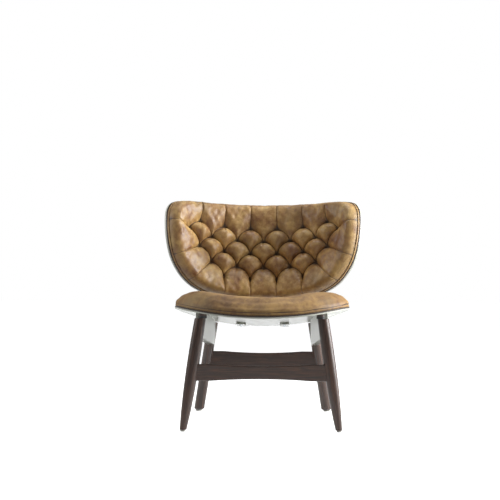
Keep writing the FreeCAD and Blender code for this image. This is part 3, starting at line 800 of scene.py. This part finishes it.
    def make_pad(self) -> bpy.types.Object:
        """The tufted pad: its puffed face, and a plain backing that closes it.

        Returns:
            The pad.
        """
        rows, crowns, faces, rims = [], [], [], []
        count = 0
        for points, crown, outer in self.panels():
            height, width, _ = points.shape
            number = count + np.arange(height * width).reshape(height, width)
            rows.append(points.reshape(-1, 3))
            crowns.append(crown.reshape(-1))
            quads = np.stack([number[:-1, :-1], number[:-1, 1:], number[1:, 1:], number[1:, :-1]], axis=-1)
            faces.append(quads.reshape(-1, 4))
            if outer:
                rims.append(np.stack([number[-1, :-1], number[-1, 1:]], axis=-1))
            count += height * width
        flat = np.vstack(rows)
        crown = np.concatenate(crowns)
        face = flat.copy()
        face[:, 2] += self.wrinkles(flat, crown)
        # Painted shade: the crown, which sets the leather's darkness, is pulled down round each tuft.
        crown = crown * (1 - 0.85 * self.near_tufts(flat))
        backing = flat.copy()
        backing[:, 2] = self.backing_depth
        quads = np.vstack(faces)
        rim = np.vstack(rims)
        wall = np.column_stack([rim, rim[:, ::-1] + count])
        points = self.space.place(np.vstack([face, backing]))
        piece = new_piece("back_pad", points, np.vstack([quads, quads[:, ::-1] + count, wall]))
        note_crown(piece, np.concatenate([crown, crown]))
        face_outwards(piece)
        return piece

    def make_band(self) -> bpy.types.Object:
        """Narrow leather band between the pad and the board's edge.

        Returns:
            The band.
        """
        loops = []
        for inset, share in self.band_section:
            loop = drawn_in(self._outline, inset * MM)
            depth = self.band_low + (self.band_high - self.band_low) * share
            loops.append(self.space.place(np.column_stack([loop, np.full(len(loop), depth)])))
        return ring_piece("back_edge_band", loops, band_shade(self.band_section))

    def make_buttons(self) -> list[tuple[bpy.types.Object, str]]:
        """A covered button at the bottom of each tuft, one piece for each row.

        Returns:
            Each row's piece with the CAD node that it stands for.
        """
        made = []
        for (name, _, _, _), row in zip(self.rows, self.tufts()):
            parts = []
            for round_, up in row:
                centre = self.space.place(np.array([[round_, up, self.tuft_depth - 2.0 * MM]]))[0]
                outer = self.space.place(np.array([[round_, up, 0.0]]))[0]
                facing = Vector(centre - outer).normalized()
                parts.append(self.button(Vector(centre), facing, self.button_radius))
            made.append((join_pieces("tuft_buttons_" + name, parts), "tufts_" + name))
        return made

    @staticmethod
    def button(centre: Vector, facing: Vector, radius: float) -> bpy.types.Object:
        """One domed covered button, flattened from a ball.

        Args:
            centre: Where the button's middle goes.
            facing: The way its face looks.
            radius: The button's radius.

        Returns:
            The button's object, with its own mesh.
        """
        deselect()
        bpy.ops.mesh.primitive_uv_sphere_add(segments=20, ring_count=10, radius=radius)
        piece = bpy.context.object
        bpy.ops.object.mode_set(mode="EDIT")
        bpy.ops.mesh.select_all(action="SELECT")
        bpy.ops.transform.resize(value=(1, 1, 0.55))
        bpy.ops.object.mode_set(mode="OBJECT")
        turn = Vector((0, 0, 1)).rotation_difference(facing).to_matrix().to_4x4()
        piece.data.transform(Matrix.Translation(centre) @ turn)
        bpy.ops.object.shade_smooth()
        return piece

    def build(self, leather: bpy.types.Material, dark_leather: bpy.types.Material,
              lacquer: bpy.types.Material, plywood: bpy.types.Material) -> None:
        """Make and dress every piece of the back.

        Args:
            leather: For the pad and its edge band.
            dark_leather: For the buttons.
            lacquer: For the shell.
            plywood: For the board.
        """
        pad = self.make_pad()
        dress(pad, leather)
        seat_piece(pad, ("back_cover", "back_foam"))
        band = self.make_band()
        dress(band, leather)
        seat_piece(band, ("back_band",))
        for buttons, node in self.make_buttons():
            dress(buttons, dark_leather)
            seat_piece(buttons, (node,))
        dress(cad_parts["back_shell"], lacquer)
        dress(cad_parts["back_board"], plywood)


def ring_piece(name: str, loops: Sequence[Grid], shade: Sequence[float]) -> bpy.types.Object:
    """A closed ring whose cross-section is given by loops of equal length.

    Args:
        name: The piece's name.
        loops: The loops in order round the cross-section; the last joins the first.
        shade: How open each loop lies to light, which the leather reads as painted shade: zero is tucked away
            and painted darkest.

    Returns:
        The ring.
    """
    count = len(loops[0])
    faces = []
    for index in range(len(loops)):
        near = index * count
        far = ((index + 1) % len(loops)) * count
        for step in range(count):
            ahead = (step + 1) % count
            faces.append((near + step, near + ahead, far + ahead, far + step))
    piece = new_piece(name, np.vstack(loops), faces)
    note_crown(piece, np.repeat(shade, count))
    face_outwards(piece)
    return piece


def band_shade(section: Sequence[tuple[float, float]]) -> list[float]:
    """How open each loop of an edge band lies to light: its two seams are tucked away and painted dark as
    shade, its middle is not.
    """
    return [0.0 if share in (0.0, 1.0) else min(1.0, 4 * share * (1 - share) + 0.15) for _, share in section]


def join_pieces(name: str, parts: Sequence[bpy.types.Object]) -> bpy.types.Object:
    """Join parts into one named piece.

    Args:
        name: The piece's name.
        parts: The parts, which are used up.

    Returns:
        The joined piece.
    """
    deselect()
    for part in parts:
        part.select_set(True)
    bpy.context.view_layer.objects.active = parts[0]
    bpy.ops.object.join()
    piece = bpy.context.object
    piece.name = name
    piece.data.name = name
    return piece


# --- Seat ---------------------------------------------------------------------------------------
@dataclass
class DishedSeat:
    """Leather seat pad and edge band on the dished pan."""

    half_width: float = 294.0 * MM
    widest_from_front: float = 230.0 * MM
    squareness: float = 2.35
    side_rise: float = 0.40
    rear_fall: float = 0.16
    shell_thickness: float = 4.0 * MM
    board_thickness: float = 4.5 * MM
    band_height: float = 8.5 * MM
    pad_height: float = 59.0 * MM
    side_round: float = 112.0 * MM
    front_round: float = 70.0 * MM
    dish_depth: float = 8.0 * MM
    dish_breadth: float = 150.0 * MM
    band_section: Sequence[tuple[float, float]] = (
        (14.0, 1.0), (3.4, 1.0), (2.0, 0.93), (1.3, 0.75), (1.1, 0.5),
        (1.3, 0.25), (2.0, 0.07), (3.4, 0.0), (14.0, 0.0),
    )
    backing_insets: Sequence[float] = (60.0 * MM, 14.0 * MM, 3.4 * MM)
    backing_drop: float = 1.8 * MM
    seam_inset: float = 1.6 * MM
    seam_bulge: float = 2.2 * MM
    shoulder_lift: float = 3.0 * MM
    swell_height: float = 0.5 * MM
    edge_steps: int = 34
    top_rings: int = 34
    samples: int = 240
    _front: float = field(init=False)
    _rear: float = field(init=False)
    _rim: float = field(init=False)

    def __post_init__(self) -> None:
        """Read the pan's front, rear and rim height from its box."""
        low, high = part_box("seat_shell")
        self._front = low.y
        self._rear = high.y
        depth = self._rear - self._front
        self._rim = low.z + self.shell_thickness + self.rear_fall * depth ** 2

    def outline(self) -> Grid:
        """Plan outline, anticlockwise from the rear.

        Returns:
            Rows of X and Y.
        """
        widest = self._front + self.widest_from_front
        turn = np.linspace(0, 2 * math.pi, self.samples, endpoint=False)
        power = 2.0 / self.squareness
        across = np.cos(turn)
        along = np.sin(turn)
        x = self.half_width * np.sign(across) * np.abs(across) ** power
        depth = np.where(along > 0, self._rear - widest, self.widest_from_front)
        y = widest + depth * np.sign(along) * np.abs(along) ** power
        loop = np.column_stack([x, y])
        return resample(np.vstack([loop, loop[:1]]), np.linspace(0, 1, self.samples + 1))[:-1]

    def raised(self, loop: Grid, height: Grid | float) -> Grid:
        """Plan points lifted to a height above the dished pan."""
        x, y = loop[:, 0], loop[:, 1]
        z = self._rim + self.side_rise * x ** 2 - self.rear_fall * (y - self._front) ** 2 + height
        return np.column_stack([x, y, z])

    def make_pad(self) -> bpy.types.Object:
        """Seat pad: rounded over its edge, with a backing that closes it.

        Returns:
            The pad.
        """
        band_top = self.board_thickness + self.band_height
        outline = self.outline()
        centre = np.array([0.0, self._front + self.widest_from_front])
        loops = []
        crowns = []
        for inset in self.backing_insets:
            loops.append(self.raised(drawn_in(outline, inset), band_top - self.backing_drop))
            crowns.append(0.0)
        breadth = self.round_breadth(outline)
        for step in range(self.edge_steps + 1):
            share = (step / self.edge_steps) ** 1.5
            bulge = self.seam_bulge * math.sin(math.pi * share / 0.1) if share < 0.1 else 0.0
            height = self.pad_height * (1 - (1 - share) ** 3.0)
            height += self.shoulder_lift * math.sin(math.pi * min(1.0, share / 0.3)) if share < 0.3 else 0.0
            inset = self.seam_inset + breadth * share - bulge
            loops.append(self.raised(drawn_in(outline, inset), band_top + height))
            # Painted shade: the seam and the foot of the rounded edge get a low crown, so the leather is
            # painted darker there.
            crowns.append(0.0 if step < 2 else min(1.0, 0.2 + step / 7))
        inner = drawn_in(outline, self.seam_inset + breadth)
        for step in range(1, self.top_rings):
            share = 1 - step / self.top_rings
            loops.append(self.raised(centre + (inner - centre) * share, band_top + self.pad_height))
            crowns.append(1.0)
        points = np.vstack(loops + [self.raised(centre[None], band_top + self.pad_height)])
        count = self.samples
        faces = []
        for ring in range(len(loops) - 1):
            for step in range(count):
                ahead = (step + 1) % count
                near = ring * count
                far = near + count
                faces.append((near + step, near + ahead, far + ahead, far + step))
        last = (len(loops) - 1) * count
        for step in range(count):
            faces.append((last + step, last + (step + 1) % count, len(points) - 1))
        points[:, 2] += self.softness(points)
        piece = new_piece("seat_pad", points, faces)
        note_crown(piece, np.repeat(crowns + [1.0], [count] * len(loops) + [1]))
        face_outwards(piece)
        return piece

    def round_breadth(self, outline: Grid) -> Grid:
        """How far in from the edge the pad goes on rising: wide at the sides, narrower in front."""
        along = np.roll(outline, -1, axis=0) - np.roll(outline, 1, axis=0)
        along /= np.linalg.norm(along, axis=1, keepdims=True)
        sideways = np.abs(along[:, 1]) ** 1.5
        return self.front_round + (self.side_round - self.front_round) * sideways

    def softness(self, points: Grid) -> Grid:
        """The sitter's hollow, and the slight swells of a foam pad under leather.

        Args:
            points: Rows of X, Y and Z.

        Returns:
            Height to add to each point.
        """
        chance = np.random.default_rng(5)
        top = np.clip((points[:, 2] - self.raised(points[:, :2], 0.0)[:, 2]) / self.pad_height - 0.3, 0, 1)
        extra = -self.dish_depth * np.exp(-(points[:, 0] / self.dish_breadth) ** 2) * np.clip(top * 1.6, 0, 1)
        return extra + swells(points, chance, 12, (70, 190), self.swell_height)

    def make_band(self) -> bpy.types.Object:
        """Narrow leather band between the pad's seam and the board's edge.

        Returns:
            The band.
        """
        outline = self.outline()
        loops = []
        for inset, share in self.band_section:
            height = self.board_thickness + 0.1 * MM + (self.band_height - 0.2 * MM) * share
            loops.append(self.raised(drawn_in(outline, inset * MM), height))
        return ring_piece("seat_edge_band", loops, band_shade(self.band_section))

    def build(self, leather: bpy.types.Material, lacquer: bpy.types.Material,
              plywood: bpy.types.Material) -> None:
        """Make and dress every piece of the seat.

        Args:
            leather: For the pad and its edge band.
            lacquer: For the shell.
            plywood: For the board.
        """
        pad = self.make_pad()
        dress(pad, leather)
        seat_piece(pad, ("seat_cover", "seat_foam"))
        band = self.make_band()
        dress(band, leather)
        seat_piece(band, ("seat_band",))
        dress(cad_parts["seat_shell"], lacquer)
        dress(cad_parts["seat_board"], plywood)


# --- Underframe and fittings --------------------------------------------------------------------
@dataclass
class Underframe:
    """Walnut legs and stretchers, lacquered side rails and the small parts between them."""

    walnut: OiledWalnut = field(default_factory=OiledWalnut)
    leg_radius: float = 19.0 * MM

    def grain_of(self, node: str) -> Vector:
        """Direction of the grain: along the length of the piece.

        Args:
            node: The CAD node's name.

        Returns:
            The direction, of any length.
        """
        if "stretcher" in node:
            return Vector((1, 0, 0))
        if "block" in node:
            return Vector((0, 1, 0))
        low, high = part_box(node)
        side = 1 if node.endswith("right") else -1
        rear = 1 if node.startswith("rear") else -1
        run = Vector((high.x - low.x, high.y - low.y, high.z - low.z))
        run -= Vector((2 * self.leg_radius, 2 * self.leg_radius, 0))
        return Vector((-side * run.x, -rear * run.y, run.z))

    def build(self, lacquer: bpy.types.Material, black: bpy.types.Material, nylon: bpy.types.Material,
              beech: bpy.types.Material, steel: bpy.types.Material) -> None:
        """Dress every piece of the underframe.

        Args:
            lacquer: For the side rails.
            black: For the neck spacers.
            nylon: For the foot glides.
            beech: For the rail dowels.
            steel: For the studs and screws.
        """
        for name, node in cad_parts.items():
            if name.startswith(("front_leg", "rear_leg", "front_stretcher", "rear_stretcher", "neck_block")):
                dress(node, self.walnut.build("oiled_walnut_" + name, self.grain_of(name)))
            elif name.startswith("side_rail"):
                dress(node, lacquer)
            elif "glide" in name:
                dress(node, nylon)
            elif name.startswith("neck_spacer"):
                dress(node, black)
            elif name.startswith("rail_dowel"):
                dress(node, beech)
            elif name.startswith(("leg_stud", "screw")):
                dress(node, steel)
        LOG.info("underframe dressed")


@dataclass
class BackFixing:
    """Steel brackets that carry the back from under the pan, and their fitted pads."""

    def build(self, enamel: bpy.types.Material, rubber: bpy.types.Material) -> None:
        """Dress the brackets and pads.

        Args:
            enamel: For the brackets.
            rubber: For the pads.
        """
        for name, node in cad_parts.items():
            if name.startswith("back_bracket"):
                dress(node, enamel)
            elif name.startswith("bracket_"):
                dress(node, rubber)
        LOG.info("back fixing dressed")


# --- Studio -------------------------------------------------------------------------------------
@dataclass
class Studio:
    """Pale floor, soft lights and a camera in front of the chair."""

    camera_from_front_feet: float = 3.28
    camera_height: float = 0.447
    camera_side: float = 0.036
    lens: float = 73.9
    shift: tuple[float, float] = (-0.0460, 0.084)
    roll: float = math.radians(-0.33)
    low_light: float = 0.11
    top_light: float = 0.55
    floor_glow: float = 0.62

    def make_camera(self) -> None:
        """Camera square to the chair's front, a little to one side of its middle."""
        low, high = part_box("front_glide_left")
        data = bpy.data.cameras.new("camera")
        data.lens = self.lens
        data.shift_x, data.shift_y = self.shift
        camera = bpy.data.objects.new("camera", data)
        back = (low.y + high.y) / 2 - self.camera_from_front_feet
        camera.location = (self.camera_side, back, self.camera_height)
        camera.rotation_euler = (math.pi / 2, self.roll, 0)
        bpy.context.scene.collection.objects.link(camera)
        bpy.context.scene.camera = camera

    def make_floor(self) -> None:
        """White floor with a faint gloss. It isn't seen by the light that bounces off the chair."""
        deselect()
        bpy.ops.mesh.primitive_plane_add(size=80, location=(0, 0, 0))
        floor = bpy.context.object
        floor.name = "floor"
        floor.visible_diffuse = False
        material = bpy.data.materials.new("white_studio_floor")
        material.use_nodes = True
        tree = material.node_tree
        tree.nodes.remove(principled(material))
        matt = add_node(tree, "ShaderNodeBsdfDiffuse", {"Color": linear("#fbfdfd")})
        gloss = add_node(tree, "ShaderNodeBsdfGlossy", {"Color": linear("#ffffff"), "Roughness": 0.12})
        both = add_node(tree, "ShaderNodeMixShader", {0: 0.05, 1: matt.outputs[0], 2: gloss.outputs[0]})
        glow = add_node(tree, "ShaderNodeEmission", {"Color": linear("#ffffff"), "Strength": self.floor_glow})
        lit = add_node(tree, "ShaderNodeAddShader", {0: both.outputs[0], 1: glow.outputs[0]})
        tree.links.new(lit.outputs[0], tree.nodes["Material Output"].inputs["Surface"])
        dress(floor, material)

    def add_light(self, name: str, place: tuple[float, float, float], size: float, power: float,
                  aim: tuple[float, float, float] = (0, 0, 0.45)) -> None:
        """Add a square softbox that faces the chair.

        Args:
            name: The light's name.
            place: Where it stands.
            size: Length of its side.
            power: Power in watts.
            aim: The point that it faces.
        """
        data = bpy.data.lights.new(name, "AREA")
        data.size = size
        data.energy = power
        light = bpy.data.objects.new(name, data)
        light.location = place
        light.rotation_euler = (Vector(aim) - Vector(place)).to_track_quat("-Z", "Y").to_euler()
        bpy.context.scene.collection.objects.link(light)

    def make_room(self) -> None:
        """White room whose light comes mostly from overhead."""
        world = bpy.data.worlds.new("studio_room")
        world.use_nodes = True
        tree = world.node_tree
        way = add_node(tree, "ShaderNodeTexCoord").outputs["Generated"]
        up = add_node(tree, "ShaderNodeSeparateXYZ", {0: way}).outputs["Z"]
        glow = add_node(tree, "ShaderNodeMapRange", {
            "Value": up, "From Min": 0.0, "From Max": 0.9,
            "To Min": self.low_light, "To Max": self.top_light},
            interpolation_type="SMOOTHSTEP")
        ambient = add_node(tree, "ShaderNodeBackground", {"Strength": glow.outputs["Result"]})
        backdrop = add_node(tree, "ShaderNodeBackground", {"Color": linear("#ffffff"), "Strength": 1.0})
        seen = add_node(tree, "ShaderNodeLightPath").outputs["Is Camera Ray"]
        both = add_node(tree, "ShaderNodeMixShader", {0: seen, 1: ambient.outputs[0], 2: backdrop.outputs[0]})
        tree.links.new(both.outputs[0], tree.nodes["World Output"].inputs["Surface"])
        ambient.inputs["Color"].default_value = linear("#ffffff")
        bpy.context.scene.world = world

    def make_lights(self) -> None:
        """A strong softbox on the right, a weaker one on the left and one overhead."""
        self.add_light("key", (2.6, -0.15, 1.3), 1.5, 150)
        self.add_light("fill", (-2.6, -0.3, 1.5), 1.2, 24)
        self.add_light("top", (0.3, 0.1, 2.9), 1.4, 20)

    def build(self) -> None:
        """Set up the camera, floor and lights."""
        bpy.context.scene.view_settings.view_transform = "Standard"
        self.make_camera()
        self.make_floor()
        self.make_room()
        self.make_lights()


def corners(box: Sequence[Vector]) -> list[list[float]]:
    """A box as plain lists of numbers."""
    return [[float(value) for value in corner] for corner in box]


def main() -> None:
    """Build the studio and every sub-assembly."""
    logging.basicConfig(level=logging.INFO, format="%(message)s")
    Studio().build()
    back_leather = WaxedLeather("waxed_leather_back").build()
    seat_leather = WaxedLeather("waxed_leather_seat", pale="#a8844c", tan="#89673a", brown="#644322",
                                roughness=(0.5, 0.66), coat=0.0, sheen=0.02).build()
    # The buttons carry no crown values, so this leather paints them almost wholly in its dark crease shade.
    dark_leather = WaxedLeather("waxed_leather_button", pale="#6b4525", tan="#563619",
                                brown="#452a15").build()
    lacquer = PlainFinish("cream_lacquer", "#cfd1c4", "#c8cabc", (0.28, 0.36), coat=0.2, patch_mm=120).build()
    plywood = PlainFinish("stained_plywood_edge", "#3a281f", "#241812", (0.4, 0.55), patch_mm=12).build()
    nylon = PlainFinish("natural_nylon", "#d9d8d0", "#cfcdc4", (0.35, 0.45), relief_mm=0.8).build()
    black = PlainFinish("black_nylon", "#1d1b1a", "#151413", (0.42, 0.55), relief_mm=0.8).build()
    beech = PlainFinish("beech_dowel", "#c79f6e", "#b78c5a", (0.5, 0.6), patch_mm=8).build()
    steel = PlainFinish("zinc_plated_steel", "#b9bcbf", "#9ea2a5", (0.28, 0.4), metallic=1.0,
                        patch_mm=10).build()
    enamel = PlainFinish("cream_enamelled_steel", "#cfd1c4", "#c8cabc", (0.3, 0.42), coat=0.3).build()
    rubber = PlainFinish("ivory_rubber", "#cccec1", "#c4c6b8", (0.6, 0.75), relief_mm=0.8).build()
    TuftedBack().build(back_leather, dark_leather, lacquer, plywood)
    DishedSeat().build(seat_leather, lacquer, plywood)
    Underframe().build(lacquer, black, nylon, beech, steel)
    BackFixing().build(enamel, rubber)


if __name__ == "__main__":
    main()
